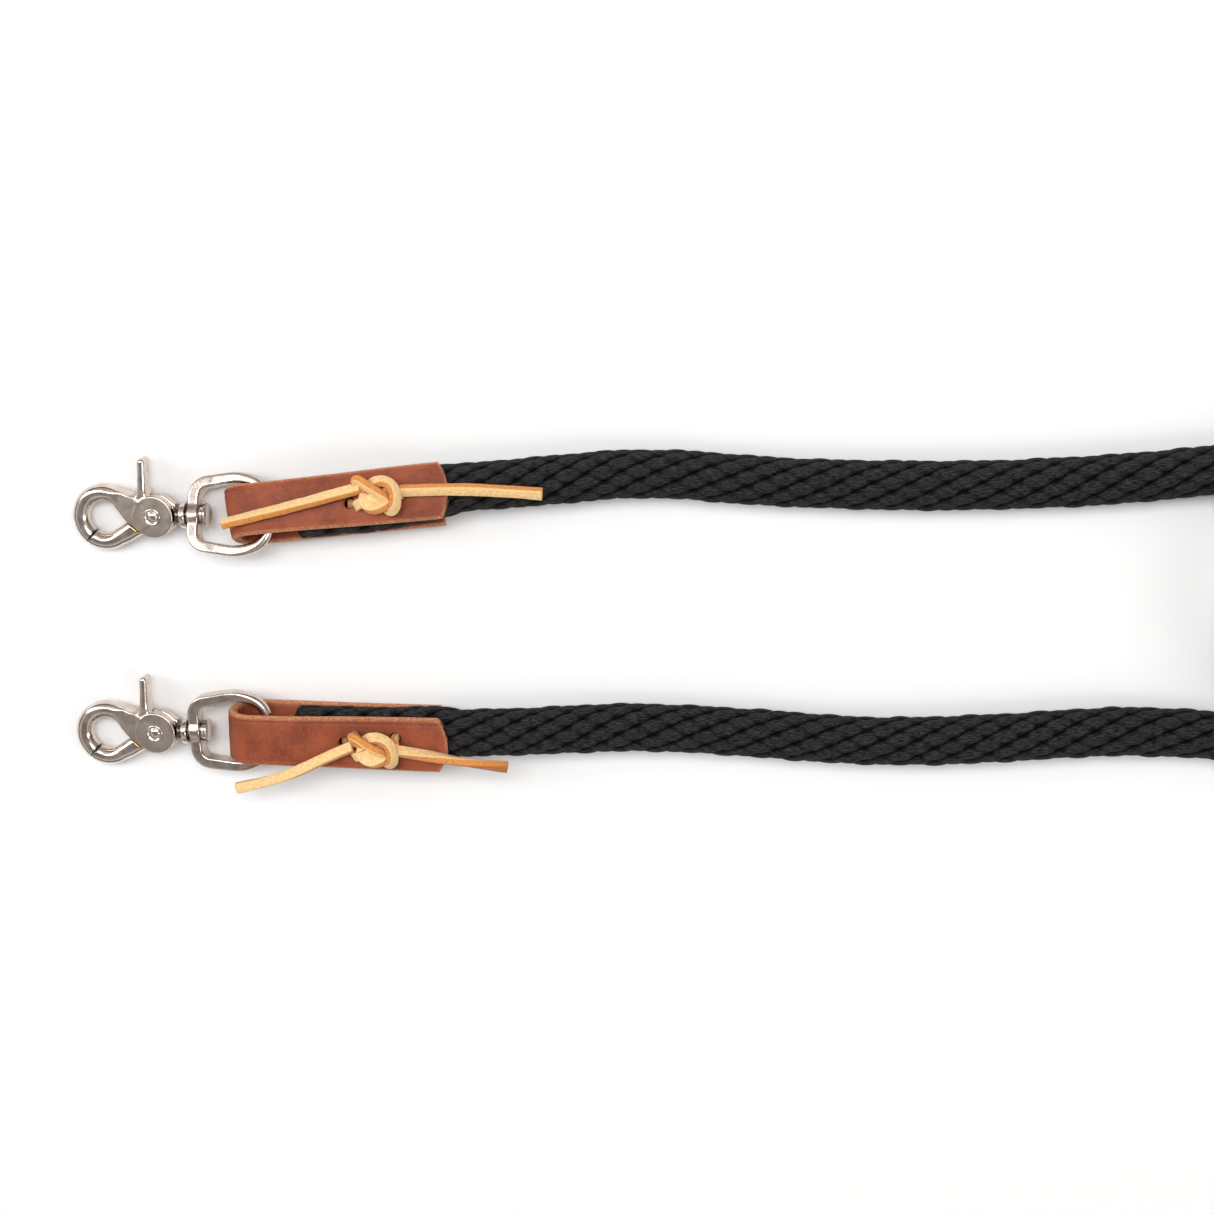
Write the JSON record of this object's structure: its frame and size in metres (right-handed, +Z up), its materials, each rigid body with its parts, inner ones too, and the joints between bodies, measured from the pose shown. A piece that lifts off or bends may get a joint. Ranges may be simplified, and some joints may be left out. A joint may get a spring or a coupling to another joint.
{
  "type": "rope reins with leather ends",
  "caption": "One-piece braided rope rein; each end is held in a folded, laced leather tab that carries a swivel scissor snap.",
  "frame": {"origin": "on the floor, under the middle of the box round the two leather ends, their lacing and their snaps", "axes": "+X from the snaps along the rope, +Y across from the end marked b to the end marked a, +Z up from the floor"},
  "size_m": [0.779, 0.1199, 0.0338],
  "materials": {
    "black_rope": "matte black solid-braid polypropylene",
    "russet_leather": "oiled russet harness leather, burnished edges",
    "lace": "tan latigo thong with a pale flesh side",
    "nickel_plate": "nickel-plated zinc casting, lightly tumbled",
    "spring_steel": "bright spring wire",
    "tie_strap": "black hook-and-loop tie band"
  },
  "bodies": {
    "root": {"leather_tab_a": "russet_leather", "rope_end_a": "black_rope", "lace_knot_a": "lace", "lace_tail_left_a": "lace", "lace_tail_right_a": "lace", "rope_run_a": "black_rope", "leather_tab_b": "russet_leather", "rope_end_b": "black_rope", "lace_knot_b": "lace", "lace_tail_left_b": "lace", "lace_tail_right_b": "lace", "rope_run_b": "black_rope", "rope_hank": "black_rope", "hank_tie": "tie_strap"},
    "eye_a": {"swivel_eye_a": "nickel_plate"},
    "snap_a": {"snap_body_a": "nickel_plate", "swivel_stud_a": "nickel_plate", "pivot_rivet_a": "nickel_plate", "lever_spring_a": "spring_steel"},
    "lever_a": {"hook_lever_a": "nickel_plate"},
    "eye_b": {"swivel_eye_b": "nickel_plate"},
    "snap_b": {"snap_body_b": "nickel_plate", "swivel_stud_b": "nickel_plate", "pivot_rivet_b": "nickel_plate", "lever_spring_b": "spring_steel"},
    "lever_b": {"hook_lever_b": "nickel_plate"}
  },
  "joints": [
    {"name": "eye_tilt_a", "type": "hinge", "parent": "root", "child": "eye_a", "pos_m": [0.003, 0.0354, 0.0109], "axis": [0.0141, 0.9404, -0.3398], "range_deg": [-85, 90]},
    {"name": "snap_swivel_a", "type": "hinge", "parent": "eye_a", "child": "snap_a", "pos_m": [-0.03633, 0.03437, 0.00642], "axis": [0.9932, 0.026, 0.1132], "continuous": true},
    {"name": "lever_open_a", "type": "hinge", "parent": "snap_a", "child": "lever_a", "pos_m": [-0.03633, 0.03437, 0.00642], "axis": [-0.1132, -0.003, 0.9936], "range_deg": [-25, 0], "stiffness_Nm_per_rad": 0.05, "springref_deg": 17.19},
    {"name": "eye_tilt_b", "type": "hinge", "parent": "root", "child": "eye_b", "pos_m": [-0.0019, -0.0387, 0.0097], "axis": [-0.0384, 0.9993, 0], "range_deg": [-85, 90]},
    {"name": "snap_swivel_b", "type": "hinge", "parent": "eye_b", "child": "snap_b", "pos_m": [-0.04129, -0.04021, 0.0059], "axis": [0.9947, 0.0382, 0.0958], "continuous": true},
    {"name": "lever_open_b", "type": "hinge", "parent": "snap_b", "child": "lever_b", "pos_m": [-0.04129, -0.04021, 0.0059], "axis": [-0.0958, -0.0037, 0.9954], "range_deg": [-25, 0], "stiffness_Nm_per_rad": 0.05, "springref_deg": 17.19}
  ]
}
